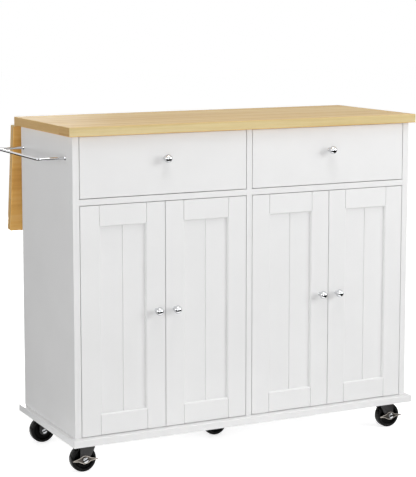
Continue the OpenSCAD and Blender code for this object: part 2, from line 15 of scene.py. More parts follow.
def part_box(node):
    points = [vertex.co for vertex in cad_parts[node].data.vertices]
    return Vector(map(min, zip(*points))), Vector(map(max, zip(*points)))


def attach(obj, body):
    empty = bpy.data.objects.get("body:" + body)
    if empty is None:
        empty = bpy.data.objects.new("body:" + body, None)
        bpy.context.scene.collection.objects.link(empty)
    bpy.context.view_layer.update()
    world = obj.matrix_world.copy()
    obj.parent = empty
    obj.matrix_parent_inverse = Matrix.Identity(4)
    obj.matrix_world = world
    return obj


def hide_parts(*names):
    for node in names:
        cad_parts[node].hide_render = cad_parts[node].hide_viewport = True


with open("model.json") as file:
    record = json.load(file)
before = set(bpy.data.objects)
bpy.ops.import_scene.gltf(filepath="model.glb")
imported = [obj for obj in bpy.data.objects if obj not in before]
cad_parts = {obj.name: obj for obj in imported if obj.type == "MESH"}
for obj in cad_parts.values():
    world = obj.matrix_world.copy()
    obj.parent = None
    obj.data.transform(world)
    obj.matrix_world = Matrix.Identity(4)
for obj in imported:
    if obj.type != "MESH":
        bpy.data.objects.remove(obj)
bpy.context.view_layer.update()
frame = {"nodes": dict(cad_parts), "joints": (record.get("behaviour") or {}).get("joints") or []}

LOG = logging.getLogger("island_cart")
MM = 0.001
MERGE = 0.002 * MM  # points closer than this are one
FLAT = math.radians(1.0)  # CAD triangles that bend less than this are one face
EASED = math.radians(40.0)  # CAD edges sharper than this are eased
SHARP = math.radians(38.0)  # edges of made pieces that bend more than this stay sharp
NOISE = (0.3, 0.7)  # nearly all of a noise lies between these
SUNK = "sunk"  # attribute that is 1 on pressed or sunk faces
LEFT = Vector((-1, 0, 0))
RIGHT = Vector((1, 0, 0))
FRONT = Vector((0, -1, 0))
BACK = Vector((0, 1, 0))
DOWN = Vector((0, 0, -1))

Source = Node | NodeSocket
Placed = tuple[BMesh, Matrix]


# ---------------- shader nodes


def linear(colour: str) -> tuple[float, float, float, float]:
    """Turns an sRGB hex colour into linear RGBA.

    Args:
        colour: six hex digits after a hash.

    Returns:
        The linear red, green and blue, and an alpha of 1.
    """
    channels = [int(colour[i:i + 2], 16) / 255 for i in (1, 3, 5)]
    r, g, b = (c / 12.92 if c <= 0.04045 else ((c + 0.055) / 1.055) ** 2.4 for c in channels)
    return (r, g, b, 1.0)


def output(source: Source) -> NodeSocket:
    """Gives a socket as it is, or the first output of a node."""
    return source.outputs[0] if isinstance(source, Node) else source


def add_node(tree: NodeTree, kind: str, settings: dict | None = None,
             inputs: dict | None = None) -> Node:
    """Adds a node, sets its properties, and fills or links its inputs.

    Args:
        tree: the node tree that gets the node.
        kind: the node's type, without the ShaderNode prefix.
        settings: properties of the node itself.
        inputs: input name or index to a value, or to the node or socket that feeds it.

    Returns:
        The new node.
    """
    node = tree.nodes.new("ShaderNode" + kind)
    for name, value in (settings or {}).items():
        setattr(node, name, value)
    for name, value in (inputs or {}).items():
        if isinstance(value, (Node, NodeSocket)):
            tree.links.new(output(value), node.inputs[name])
        else:
            node.inputs[name].default_value = value
    return node


# ---------------- finishes


@dataclass(frozen=True)
class Finish:
    """A surface finish: its sheen drifts over patches, and a fine grain may stand out of it.

    Lengths are in metres. A finish with a pattern of its own is a subclass.
    """

    name: str
    colour: str
    roughness: float
    metallic: float = 0.0
    specular: float = 0.5
    patch: float = 10 * MM
    spread: float = 0.05
    grain: float = 0.8 * MM
    detail: float = 2.0
    depth: float = 0.0

    def material(self) -> Material:
        """Makes the material, or finds it if it has been made.

        Returns:
            The finished material.
        """
        found = bpy.data.materials.get(self.name)
        if found:
            return found
        material = bpy.data.materials.new(self.name)
        material.use_nodes = True
        tree = material.node_tree
        shader = tree.nodes["Principled BSDF"]
        for socket, value in (("Base Color", linear(self.colour)), ("Roughness", self.roughness),
                              ("Metallic", self.metallic), ("Specular IOR Level", self.specular)):
            shader.inputs[socket].default_value = value
        place = add_node(tree, "TexCoord").outputs["Object"]
        for socket, source in self.pattern(tree, place).items():
            tree.links.new(output(source), shader.inputs[socket])
        return material

    def pattern(self, tree: NodeTree, place: Source) -> dict[str, Source]:
        """Makes a drift in roughness, as polishing and handling leave it, and the grain.

        Args:
            tree: the material's node tree.
            place: object coordinates, in metres.

        Returns:
            What feeds each of the shader's inputs that isn't the same all over.
        """
        sources = {}
        if self.spread:
            cloud = add_node(tree, "TexNoise", inputs={"Vector": place, "Scale": 1 / self.patch,
                                                       "Detail": 4.0})
            sources["Roughness"] = add_node(tree, "MapRange", inputs={
                "Value": cloud, "From Min": NOISE[0], "From Max": NOISE[1],
                "To Min": self.roughness - self.spread, "To Max": self.roughness + self.spread})
        if self.depth:
            fine = add_node(tree, "TexNoise", inputs={"Vector": place, "Scale": 1 / self.grain,
                                                      "Detail": self.detail})
            sources["Normal"] = add_node(tree, "Bump", inputs={"Height": fine,
                                                               "Distance": self.depth})
        return sources


@dataclass(frozen=True)
class Lacquer(Finish):
    """Sprayed lacquer on fibreboard: satin, and its grain is a faint orange peel."""

    patch: float = 50 * MM
    spread: float = 0.04
    grain: float = 2.2 * MM
    detail: float = 1.0
    depth: float = 0.02 * MM
    shaded: str = "#e5e5e5"
    cloud: float = 125 * MM

    def pattern(self, tree: NodeTree, place: Source) -> dict[str, Source]:
        """Adds a faint drift of tone.

        Args:
            tree: the material's node tree.
            place: object coordinates, in metres.

        Returns:
            What feeds the colour, the roughness and the normal.
        """
        cloud = add_node(tree, "TexNoise", inputs={"Vector": place, "Scale": 1 / self.cloud,
                                                   "Detail": 3.0})
        tone = add_node(tree, "Mix", {"data_type": "RGBA"},
                        {0: cloud, 6: linear(self.shaded), 7: linear(self.colour)})
        return super().pattern(tree, place) | {"Base Color": tone.outputs[2]}


@dataclass(frozen=True)
class OakVeneer(Finish):
    """Oak veneer laid in matched leaves, edge bands whose grain follows each edge, and a honey
    underside veneer, made brighter and warmer as painted light.

    A board that lies at a slope gives its turn about X from the level, so that its grain, its
    ends and its underside are told apart as on a level board. Tones run from dark to light. Each
    layer of the figure has a width, a length in widths, and a detail.
    """

    patch: float = 30 * MM
    spread: float = 0.04
    face: tuple[str, str, str] = ("#d3ad73", "#e0c085", "#e9cc97")
    # the underside's tones, lighter and warmer than the veneer: painted light on the leaf's
    # underside
    backing_and_painted_light: tuple[str, str, str] = ("#e3aa5c", "#eeb968", "#f5c880")
    edge_tone: str = "#eff9ff"
    # the end faces darker and warmer: end grain, and painted shade
    end_tone_and_shade: str = "#e8dfd6"
    leaf_width: float = 160 * MM
    leaf_shift: float = 3.0
    leaf_tones: tuple[float, float] = (0.985, 1.015)
    bands: tuple[float, float, float] = (42 * MM, 30.0, 2.0)
    streaks: tuple[float, float, float] = (9 * MM, 45.0, 3.0)
    pores: tuple[float, float, float] = (1.2 * MM, 22.0, 1.0)
    wander: float = 0.3
    streak_share: float = 0.42
    dark_to_light: tuple[float, float] = (0.34, 0.64)
    pore_span: tuple[float, float] = (0.3, 0.5)
    pore_tone: float = 0.94
    pore_share: float = 0.4
    pore_depth: float = 0.04 * MM
    end_from: float = 0.8
    edge_below: float = 0.5
    turn: float = 0.0

    def pattern(self, tree: NodeTree, place: Source) -> dict[str, Source]:
        """Adds broad growth bands, finer streaks and short pores, all along the grain.

        Args:
            tree: the material's node tree.
            place: object coordinates, in metres.

        Returns:
            What feeds the colour, the roughness and the normal.
        """
        normal = add_node(tree, "TexCoord").outputs["Normal"]
        level, upright = (add_node(tree, "Mapping", {"vector_type": "TEXTURE"},
                                   {"Vector": source, "Rotation": (self.turn, 0.0, 0.0)})
                          for source in (place, normal))
        parts, outward = (add_node(tree, "SeparateXYZ", inputs={0: source}).outputs
                          for source in (level, upright))
        sideways = add_node(tree, "Math", {"operation": "ABSOLUTE"}, {0: outward["X"]})
        end = add_node(tree, "Math", {"operation": "GREATER_THAN"},
                       {0: sideways, 1: self.end_from})
        leaf = self.leaf_chance(tree, parts["Y"])
        start = add_node(tree, "Math", {"operation": "MULTIPLY"}, {0: leaf, 1: self.leaf_shift})
        grain = add_node(tree, "VectorMath", {"operation": "ADD"},
                         {0: self.along_grain(tree, level, parts, end), 1: start})
        bands, streaks, pores = (self.layer(tree, grain, *sizes)
                                 for sizes in (self.bands, self.streaks, self.pores))
        figure = add_node(tree, "Mix", inputs={0: self.streak_share, 2: bands, 3: streaks})
        tone = add_node(tree, "MapRange", inputs={"Value": leaf, "To Min": self.leaf_tones[0],
                                                  "To Max": self.leaf_tones[1]})
        fleck = add_node(tree, "MapRange", inputs={
            "Value": pores, "From Min": self.pore_span[0], "From Max": self.pore_span[1],
            "To Min": self.pore_tone, "To Max": 1.0})
        shade = add_node(tree, "Math", {"operation": "MULTIPLY"}, {0: tone, 1: fleck})
        height = add_node(tree, "Mix", inputs={0: self.pore_share, 2: streaks, 3: pores})
        veneer = self.veneered(tree, figure, end, outward["Z"])
        return super().pattern(tree, place) | {
            "Base Color": add_node(tree, "VectorMath", {"operation": "SCALE"},
                                   {0: veneer, "Scale": shade}),
            "Normal": add_node(tree, "Bump", inputs={"Height": height,
                                                     "Distance": self.pore_depth})}

    def layer(self, tree: NodeTree, grain: Source, width: float, stretch: float,
              detail: float) -> Node:
        """Makes one layer of the figure: a noise drawn out along the grain.

        Args:
            tree: the material's node tree.
            grain: coordinates whose first part runs along the grain.
            width: width of one streak, in metres.
            stretch: how many times longer than wide it is.
            detail: how much finer figure lies in it.

        Returns:
            The node that gives the layer.
        """
        squeezed = add_node(tree, "VectorMath", {"operation": "MULTIPLY"},
                            {0: grain, 1: (1 / (width * stretch), 1 / width, 1 / width)})
        return add_node(tree, "TexNoise", inputs={"Vector": squeezed, "Scale": 1.0,
                                                  "Detail": detail, "Distortion": self.wander})

    def veneered(self, tree: NodeTree, figure: Source, end: Source, up: Source) -> NodeSocket:
        """Colours the upper face, the edge bands and the underside, with painted light in the
        underside's tones and painted shade over the end faces' grain.

        Args:
            tree: the material's node tree.
            figure: the pattern of the veneer.
            end: 1 on the end faces and 0 elsewhere.
            up: how far the surface faces up, from -1 to 1.

        Returns:
            The colour.
        """
        upright = add_node(tree, "Math", {"operation": "ABSOLUTE"}, {0: up})
        edge, under = (add_node(tree, "Math", {"operation": "LESS_THAN"}, {0: source, 1: limit})
                       for source, limit in ((upright, self.edge_below), (up, -self.edge_below)))
        # the end faces take the end tone: their grain, with painted shade
        band = add_node(tree, "Mix", {"data_type": "RGBA"},
                        {0: end, 6: linear(self.edge_tone), 7: linear(self.end_tone_and_shade)})
        banded = add_node(tree, "Mix", {"data_type": "RGBA", "blend_type": "MULTIPLY"},
                          {0: edge, 6: self.toned(tree, figure, self.face), 7: band.outputs[2]})
        return add_node(tree, "Mix", {"data_type": "RGBA"},
                        {0: under, 6: banded.outputs[2],
                         7: self.toned(tree, figure, self.backing_and_painted_light)}).outputs[2]

    def toned(self, tree: NodeTree, figure: Source, tones: tuple[str, str, str]) -> Node:
        """Colours the figure of the veneer.

        Args:
            tree: the material's node tree.
            figure: the pattern, about 0.5 in its middle.
            tones: the dark, middle and light tone.

        Returns:
            The node that gives the colour.
        """
        ramp = add_node(tree, "ValToRGB", inputs={"Fac": figure})
        ends = ramp.color_ramp.elements
        ends[0].position, ends[1].position = self.dark_to_light
        ends[0].color, ends[1].color = linear(tones[0]), linear(tones[2])
        ends.new(0.5).color = linear(tones[1])
        return ramp

    def leaf_chance(self, tree: NodeTree, across: Source) -> Node:
        """Gives each leaf of veneer a number of its own.

        Args:
            tree: the material's node tree.
            across: the coordinate across the leaves, in metres.

        Returns:
            A node whose first output runs from 0 to 1.
        """
        count = add_node(tree, "Math", {"operation": "DIVIDE"}, {0: across, 1: self.leaf_width})
        whole = add_node(tree, "Math", {"operation": "FLOOR"}, {0: count})
        return add_node(tree, "TexWhiteNoise", {"noise_dimensions": "1D"}, {"W": whole})

    def along_grain(self, tree: NodeTree, level: Source,
                    parts: bpy.types.bpy_prop_collection, end: Source) -> NodeSocket:
        """Turns the coordinates on the two end faces, so that their grain follows the edge.

        Args:
            tree: the material's node tree.
            level: coordinates with the board lying level.
            parts: the same, apart.
            end: 1 on the end faces and 0 elsewhere.

        Returns:
            A vector whose first part runs along the grain.
        """
        swapped = add_node(tree, "CombineXYZ", inputs={"X": parts["Y"], "Y": parts["X"],
                                                       "Z": parts["Z"]})
        return add_node(tree, "Mix", {"data_type": "VECTOR"},
                        {0: end, 4: level, 5: swapped}).outputs[1]


@dataclass(frozen=True)
class Plated(Finish):
    """Plated metal: chrome is nearly a mirror, zinc and nickel keep a fine grain."""

    metallic: float = 1.0
    patch: float = 12 * MM
    sunk: str = ""

    def pattern(self, tree: NodeTree, place: Source) -> dict[str, Source]:
        """Adds the tone of sunk faces, where they differ: painted shade in the bolts' slots, and
        the levers' dark pressed fronts.

        Args:
            tree: the material's node tree.
            place: object coordinates, in metres.

        Returns:
            What feeds the roughness and, where they vary, the colour and the normal.
        """
        sources = super().pattern(tree, place)
        if self.sunk:
            mark = add_node(tree, "Attribute", {"attribute_name": SUNK}).outputs["Fac"]
            tone = add_node(tree, "Mix", {"data_type": "RGBA"},
                            {0: mark, 6: linear(self.colour), 7: linear(self.sunk)})
            sources["Base Color"] = tone.outputs[2]
        return sources


@dataclass(frozen=True)
class Moulded(Finish):
    """Moulded rubber or nylon, or a baked black coat: dark, with a fine even grain."""

    depth: float = 0.02 * MM


# satin white polyurethane lacquer, sprayed: soft broad highlights, never quite flat
WHITE = Lacquer("white_satin_lacquer", "#ebebeb", 0.36)
# white melamine foil inside the drawers and cupboards: a touch warmer and flatter
MELAMINE = Lacquer("white_melamine", "#e6e6e4", 0.5, shaded="#e1e1df", grain=3.5 * MM)
# moulded polypropylene caps and bumpers: the same white, a little shinier
CAP = Lacquer("white_polypropylene", "#e4e4e4", 0.3, shaded="#dfdfdf", grain=1.2 * MM)
# oak veneer, lacquered satin: pale straw with quiet bands and a soft sheen at low angles, and a
# honey coloured veneer on the underside, made brighter and warmer as painted light
OAK_TOP = OakVeneer("lacquered_oak_top", "#e0c085", 0.5, specular=0.2)
# the same veneer on the drop leaf, which hangs eight degrees off the vertical
OAK_LEAF = OakVeneer("lacquered_oak_leaf", "#e0c085", 0.5, specular=0.2,
                     turn=math.radians(-82.0))
# bright chrome plate on turned brass and tube: a mirror that shows the room
CHROME = Plated("chrome_plate", "#d3d4d6", 0.07, spread=0.0245)
# zinc plate, blue passivated: a dull silver with a fine grain
ZINC = Plated("zinc_plate", "#b9bcbf", 0.34, spread=0.119, grain=0.6 * MM, depth=0.006 * MM)
# bright zinc plate on the axle bolts, with painted shade where their slots go in
BOLT_ZINC = Plated("bright_zinc_plate", "#c3c5c7", 0.2, spread=0.07, sunk="#262523")
# black nickelled spring steel of the brake levers: dark on its pressed front, and light grey
# elsewhere, a painted highlight along its raised rim
GUNMETAL = Plated("black_nickel", "#a29c95", 0.26, spread=0.091, depth=0.004 * MM, sunk="#4d4945")
# hardened steel balls in their strips: dark, with bright points
BALL_STEEL = Plated("ball_steel", "#9a9a9a", 0.12, spread=0.042)
# black baked enamel on the caster forks: dark grey where light strikes it, semi-gloss
ENAMEL = Moulded("black_baked_enamel", "#2c2b2b", 0.4, specular=0.35, grain=1.1 * MM,
                 depth=0.01 * MM)
# glass-filled nylon of the wheel centres: near black, semi-gloss
NYLON = Moulded("black_nylon", "#060606", 0.22, specular=0.05)
# thermoplastic rubber treads: black, softly shining on their round shoulders
RUBBER = Moulded("black_tread_rubber", "#050505", 0.26, specular=0.12, grain=0.6 * MM)
# matt paint on the studio's floor, and the dark floor that only mirrors see
FLOOR_PAINT = Finish("white_floor_paint", "#f4f4f4", 0.9, specular=0.0, spread=0.0)
DARK_FLOOR = Finish("dark_studio_floor", "#1c1a18", 0.9, specular=0.0, spread=0.0)


# ---------------- mesh helpers


class Side(Enum):
    """The left or the right, seen from the front."""

    LEFT = "left"
    RIGHT = "right"


def facing(centre: Vector, normal: Vector) -> Matrix:
    """Gives the place of something made round +Z that is to stand at centre along normal."""
    return Matrix.Translation(centre) @ normal.to_track_quat("Z", "Y").to_matrix().to_4x4()


def only(kind: type, made: list) -> list:
    """Picks the vertices, the edges or the faces out of what an operator made."""
    return [part for part in made if isinstance(part, kind)]


def arc(centre: tuple[float, float], radius: float, first: float, last: float,
        steps: int) -> list[tuple[float, float]]:
    """Gives the points of an arc in radius and height.

    Args:
        centre: its centre.
        radius: its radius.
        first: angle of the first point from the radius axis, in degrees.
        last: angle of the last point.
        steps: number of spans.

    Returns:
        The points, first to last.
    """
    angles = [math.radians(first + (last - first) * i / steps) for i in range(steps + 1)]
    return [(centre[0] + radius * math.cos(a), centre[1] + radius * math.sin(a)) for a in angles]


def turned(profile: list[tuple[float, float]], steps: int = 40, ring: bool = False) -> BMesh:
    """Spins a profile of radius and height round +Z.

    Args:
        profile: radius and height of each point, in millimetres.
        steps: facets round the axis.
        ring: whether the profile closes on itself, as a tyre's does.

    Returns:
        The spun mesh, in metres.
    """
    bm = bmesh.new()
    verts = [bm.verts.new((r * MM, 0.0, h * MM)) for r, h in profile]
    edges = [bm.edges.new(pair) for pair in zip(verts, verts[1:] + verts[:1 if ring else 0])]
    bmesh.ops.spin(bm, geom=verts + edges, cent=(0, 0, 0), axis=(0, 0, 1), angle=math.tau,
                   steps=steps, use_merge=True)
    return bm


def extruded(bm: BMesh, faces: list[BMFace]) -> list[BMFace]:
    """Extrudes faces as one region: its edges go in too, so that no old face stays inside.

    Args:
        bm: the mesh that the faces belong to.
        faces: the faces.

    Returns:
        The faces at the new end.
    """
    edges = dict.fromkeys(edge for face in faces for edge in face.edges)
    made = bmesh.ops.extrude_face_region(bm, geom=[*faces, *edges])["geom"]
    return only(BMFace, made)


def raised(bm: BMesh, face: BMFace, lift: float, share: float = 1.0) -> BMFace:
    """Extrudes one face along +Z and scales its new end.

    Args:
        bm: the mesh that the face belongs to.
        face: the face.
        lift: how far, in metres.
        share: how wide the new end is, against the old one.

    Returns:
        The face at the new end.
    """
    end, = extruded(bm, [face])
    bmesh.ops.translate(bm, vec=(0, 0, lift), verts=list(end.verts))
    bmesh.ops.scale(bm, vec=(share, share, 1.0), verts=list(end.verts))
    return end


def screw_head(radius: float, height: float) -> BMesh:
    """Makes a pan-headed screw's head standing on the origin, with its cross recess.

    Args:
        radius: the head's radius, in millimetres.
        height: its height.

    Returns:
        The head's mesh, in metres.
    """
    dome = ((0.55, 1.0), (0.33, 0.86), (0.12, 0.8))  # each step's height and narrowing
    arm = (0.85, 0.34, 0.24, 0.34)  # reach of the recess: an arm's tip, its side, corner, side
    depth, taper = 0.5, 0.8
    bm = bmesh.new()
    verts = bmesh.ops.create_circle(bm, cap_ends=True, segments=16, radius=radius * MM)["verts"]
    face = verts[0].link_faces[0]
    for lift, share in dome:
        face = raised(bm, face, height * lift * MM, share)
    mouth = raised(bm, face, 0.0)
    for i, vert in enumerate(mouth.verts):
        vert.co.xy *= arm[i % len(arm)]
    raised(bm, mouth, -height * depth * MM, taper)
    return bm


def slotted_bolt_head(radius: float, height: float, slot: float) -> BMesh:
    """Makes the domed head of an axle bolt, standing on the origin, with a slot along x.

    Args:
        radius: the head's radius, in millimetres.
        height: its height.
        slot: width of its slot.

    Returns:
        The head's mesh, in metres.
    """
    dome = ((1.0, 0.74), (0.95, 0.88), (0.82, 0.95), (0.4, 1.0))  # shares of radius and height
    top, floor = 0.76, 0.4  # shares of the height: where the dome begins, and the slot's floor
    profile = [(radius * across, height * up) for across, up in dome]
    bm = turned([(0.0, 0.0), (radius, 0.0), *profile, (0.0, height)], 48)
    bmesh.ops.remove_doubles(bm, verts=bm.verts, dist=MERGE)
    mark = bm.faces.layers.float.new(SUNK)
    half = slot / 2 * MM
    for y in (-half, half):
        bmesh.ops.bisect_plane(bm, geom=bm.verts[:] + bm.edges[:] + bm.faces[:],
                               plane_co=(0, y, 0), plane_no=(0, 1, 0), dist=1e-7)
    middles = ((face, face.calc_center_median()) for face in bm.faces)
    strip = [face for face, middle in middles
             if abs(middle.y) < half and middle.z > height * top * MM]
    # the slot's faces are marked to take a painted shade
    for face in extruded(bm, strip):
        face[mark] = 1.0
        for vert in face.verts:
            vert.co.z = height * floor * MM
    return bm


def hexagon_nut(radius: float, height: float, softened: float = 0.4) -> BMesh:
    """Makes a nut with softened corners, standing on the origin with a corner along y.

    Args:
        radius: distance of its corners from the axis, in millimetres.
        height: its height.
        softened: width of the bevel round its top.

    Returns:
        The nut's mesh, in metres.
    """
    bm = bmesh.new()
    verts = bmesh.ops.create_circle(bm, cap_ends=True, segments=6, radius=radius * MM)["verts"]
    top = raised(bm, verts[0].link_faces[0], height * MM)
    bmesh.ops.bevel(bm, geom=list(top.edges), offset=softened * MM, offset_type="OFFSET",
                    segments=2, profile=0.5, affect="EDGES", material=-1)
    return bm


def eased(node: str, width: float) -> BMesh:
    """Copies a CAD node's mesh, closes it and eases its sharp edges.

    Args:
        node: the node's name.
        width: width of the eased edge, in millimetres.

    Returns:
        The eased copy, in place.
    """
    bm = bmesh.new()
    bm.from_mesh(frame["nodes"][node].data)
    bmesh.ops.remove_doubles(bm, verts=bm.verts, dist=MERGE)
    bmesh.ops.dissolve_limit(bm, angle_limit=FLAT, verts=bm.verts, edges=bm.edges)
    sharp = [edge for edge in bm.edges if edge.calc_face_angle(0.0) > EASED]
    bmesh.ops.bevel(bm, geom=sharp, offset=width * MM, offset_type="OFFSET", segments=2,
                    profile=0.5, affect="EDGES", clamp_overlap=True, material=-1)
    return bm


def make_piece(name: str, parts: list[Placed], finish: Finish, body: str,
               stands_for: str = "") -> None:
    """Puts parts in their places and joins them as one piece that rides on a body.

    Args:
        name: the piece's name.
        parts: each part's mesh, which is freed, and the place of its origin and +Z.
        finish: its finish.
        body: the CAD body that it rides on.
        stands_for: the CAD node that it replaces, if it does.
    """
    whole = bmesh.new()
    mesh = bpy.data.meshes.new(name)
    for bm, place in parts:
        bmesh.ops.remove_doubles(bm, verts=bm.verts, dist=MERGE)
        bmesh.ops.recalc_face_normals(bm, faces=bm.faces)
        bmesh.ops.transform(bm, matrix=place, verts=bm.verts)
        bm.to_mesh(mesh)
        bm.free()
        whole.from_mesh(mesh)
    for face in whole.faces:
        face.smooth = True
    for edge in whole.edges:
        edge.smooth = edge.calc_face_angle(0.0) < SHARP
    whole.to_mesh(mesh)
    whole.free()
    mesh.materials.append(finish.material())
    piece = bpy.data.objects.new(name, mesh)
    bpy.context.scene.collection.objects.link(piece)
    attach(piece, body)
    if stands_for:
        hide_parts(stands_for)
    LOG.info("%s: %d faces", name, len(mesh.polygons))


def dress(node: str, finish: Finish) -> None:
    """Gives a CAD node a finish in all its material slots.

    Args:
        node: the node's name.
        finish: its finish.
    """
    mesh = frame["nodes"][node].data
    if not mesh.materials:
        mesh.materials.append(finish.material())
    for i in range(len(mesh.materials)):
        mesh.materials[i] = finish.material()
    LOG.info("%s: %s", node, finish.name)


@dataclass
class ScrewSet:
    """Zinc-plated screw heads of one size on one body."""

    name: str
    body: str
    radius: float = 3.6
    height: float = 1.6
    turn: float = 0.7
    heads: list[Placed] = field(default_factory=list)

    def add(self, centre: Vector, normal: Vector) -> None:
        """Stands a head at centre along normal, turned as the last turn of the driver left it."""
        turn = Matrix.Rotation(self.turn * len(self.heads), 4, "Z")
        self.heads.append((screw_head(self.radius, self.height), facing(centre, normal) @ turn))

    def build(self) -> None:
        """Joins the heads as one piece."""
        make_piece(self.name, self.heads, ZINC, self.body)


# ---------------- sub-assemblies


@dataclass
class Knob:
    """A chrome ball knob on a drawer front or a door. Its radii are in millimetres."""

    node: str
    body: str
    rose: float = 5.8
    neck: float = 4.3
    facets: int = 64

    def build(self) -> None:
        """Turns the knob in place of its CAD node."""
        low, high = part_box(self.node)
        foot = Vector(((low.x + high.x) / 2, high.y, (low.z + high.z) / 2))
        reach = (high.y - low.y) / MM
        ball = (high.z - low.z) / 2 / MM
        waist = self.neck + 0.6
        profile = [(0.0, 0.0), (self.rose, 0.0), (self.rose, 0.9), (self.rose - 0.4, 1.5),
                   (self.neck + 0.7, 2.2), (self.neck + 0.2, 3.0), (self.neck, 4.0),
                   (self.neck, reach - ball - math.sqrt(ball ** 2 - waist ** 2) - 0.8)]
        profile += arc((0.0, reach - ball), ball, -math.degrees(math.acos(waist / ball)), 90.0, 28)
        ball_knob = turned(profile, self.facets)
        make_piece(self.node + "_turned", [(ball_knob, facing(foot, FRONT))], CHROME, self.body,
                   self.node)


@dataclass
class Drawer:
    """A drawer: front, box, runners, ball strips and knob."""

    side: Side
    runner_web: float = 1.2
    screws_along: tuple[float, ...] = (0.12, 0.5, 0.88)

    def build(self) -> None:
        """Dresses the drawer and screws its runners to it."""
        body = "drawer_" + self.side.value
        for part, finish in (("_front", WHITE), ("_box", MELAMINE), ("_runners", ZINC)):
            dress(body + part, finish)
        dress("ball_cages_" + self.side.value, BALL_STEEL)
        Knob(body + "_knob", body).build()
        box_low, box_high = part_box(body + "_box")
        low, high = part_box(body + "_runners")
        screws = ScrewSet(body + "_runner_screws", body, radius=3.2, height=1.1)
        web = self.runner_web * MM
        z = (low.z + high.z) / 2
        for share in self.screws_along:
            y = low.y + (high.y - low.y) * share
            screws.add(Vector((box_low.x - web, y, z)), LEFT)
            screws.add(Vector((box_high.x + web, y, z)), RIGHT)
        screws.build()


@dataclass
class Door:
    """A framed door with its grooved panel, knob, hinge cups and bumpers."""

    number: int
    hung: Side
    cup_to_end: float = 24.0
    screw_from_cup: float = 21.0
    flange_in: float = 0.2
    bumper: float = 4.0
    bumper_in: float = 12.0

    def build(self) -> None:
        """Dresses the door and adds its cup screws and bumpers."""
        body = f"door_{self.number}"
        dress(body + "_frame", WHITE)
        dress(body + "_panel", WHITE)
        dress(body + "_hinge_cups", ZINC)
        Knob(body + "_knob", body).build()
        low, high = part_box(body + "_hinge_cups")
        screws = ScrewSet(body + "_cup_screws", body, height=1.2)
        for z in (low.z + self.cup_to_end * MM, high.z - self.cup_to_end * MM):
            for dz in (-self.screw_from_cup * MM, self.screw_from_cup * MM):
                foot = Vector(((low.x + high.x) / 2, high.y - self.flange_in * MM, z + dz))
                screws.add(foot, BACK)
        screws.build()
        low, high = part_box(body + "_frame")
        inset = self.bumper_in * MM
        free = high.x - inset if self.hung is Side.LEFT else low.x + inset
        profile = [(0.0, 0.0), (self.bumper, 0.0), (self.bumper, 0.6), (self.bumper - 1.2, 1.2),
                   (0.0, 1.4)]
        pads = [(turned(profile, 20), facing(Vector((free, high.y, z)), BACK))
                for z in (low.z + inset, high.z - inset)]
        make_piece(body + "_bumpers", pads, CAP, body)


@dataclass
class TowelRail:
    """The bent chrome rod on the left side, with a rose at each end."""

    rod: float = 3.5
    bend: float = 12.0
    rose: float = 5.5
    sides: int = 28
    bend_steps: int = 12

    def build(self) -> None:
        """Sweeps the rod round its two bends and turns the roses."""
        low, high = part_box("towel_rail")
        height = (low.z + high.z) / 2
        out = low.x + self.rod * MM
        ends = (low.y + self.rose * MM, high.y - self.rose * MM)
        bend = self.bend * MM
        bm = bmesh.new()
        ring = bmesh.ops.create_circle(bm, segments=self.sides, radius=self.rod * MM)["verts"]
        bmesh.ops.transform(bm, verts=ring,
                            matrix=facing(Vector((high.x, ends[0], height)), LEFT))
        edges = self.straight(bm, bm.edges[:], Vector((out + bend - high.x, 0, 0)))
        edges = self.elbow(bm, edges, Vector((out + bend, ends[0] + bend, height)))
        edges = self.straight(bm, edges, Vector((0, ends[1] - ends[0] - 2 * bend, 0)))
        edges = self.elbow(bm, edges, Vector((out + bend, ends[1] - bend, height)))
        self.straight(bm, edges, Vector((high.x - out - bend, 0, 0)))
        bmesh.ops.holes_fill(bm, edges=[edge for edge in bm.edges if edge.is_boundary])
        profile = [(0.0, 0.0), (self.rose, 0.0), (self.rose, 1.4), (self.rose - 0.4, 2.0),
                   (self.rod + 0.9, 2.4), (self.rod + 0.2, 3.2), (self.rod - 0.6, 3.4), (0.0, 3.4)]
        roses = [(turned(profile), facing(Vector((high.x, y, height)), LEFT)) for y in ends]
        make_piece("towel_rail_bent", [(bm, Matrix())] + roses, CHROME, "cabinet",
                   "towel_rail")

    def straight(self, bm: BMesh, edges: list[BMEdge], step: Vector) -> list[BMEdge]:
        """Extrudes the rod's end ring straight on.

        Args:
            bm: the rod's mesh.
            edges: the ring's edges.
            step: how far and which way.

        Returns:
            The new ring's edges.
        """
        made = bmesh.ops.extrude_edge_only(bm, edges=edges)["geom"]
        bmesh.ops.translate(bm, vec=step, verts=only(BMVert, made))
        return [edge for edge in only(BMEdge, made) if edge.is_boundary]

    def elbow(self, bm: BMesh, edges: list[BMEdge], centre: Vector) -> list[BMEdge]:
        """Spins the rod's end ring through a right angle.

        Args:
            bm: the rod's mesh.
            edges: the ring's edges.
            centre: the bend's centre.

        Returns:
            The new ring's edges.
        """
        made = bmesh.ops.spin(bm, geom=edges, cent=centre, axis=(0, 0, 1), angle=-math.pi / 2,
                              steps=self.bend_steps)["geom_last"]
        return only(BMEdge, made)


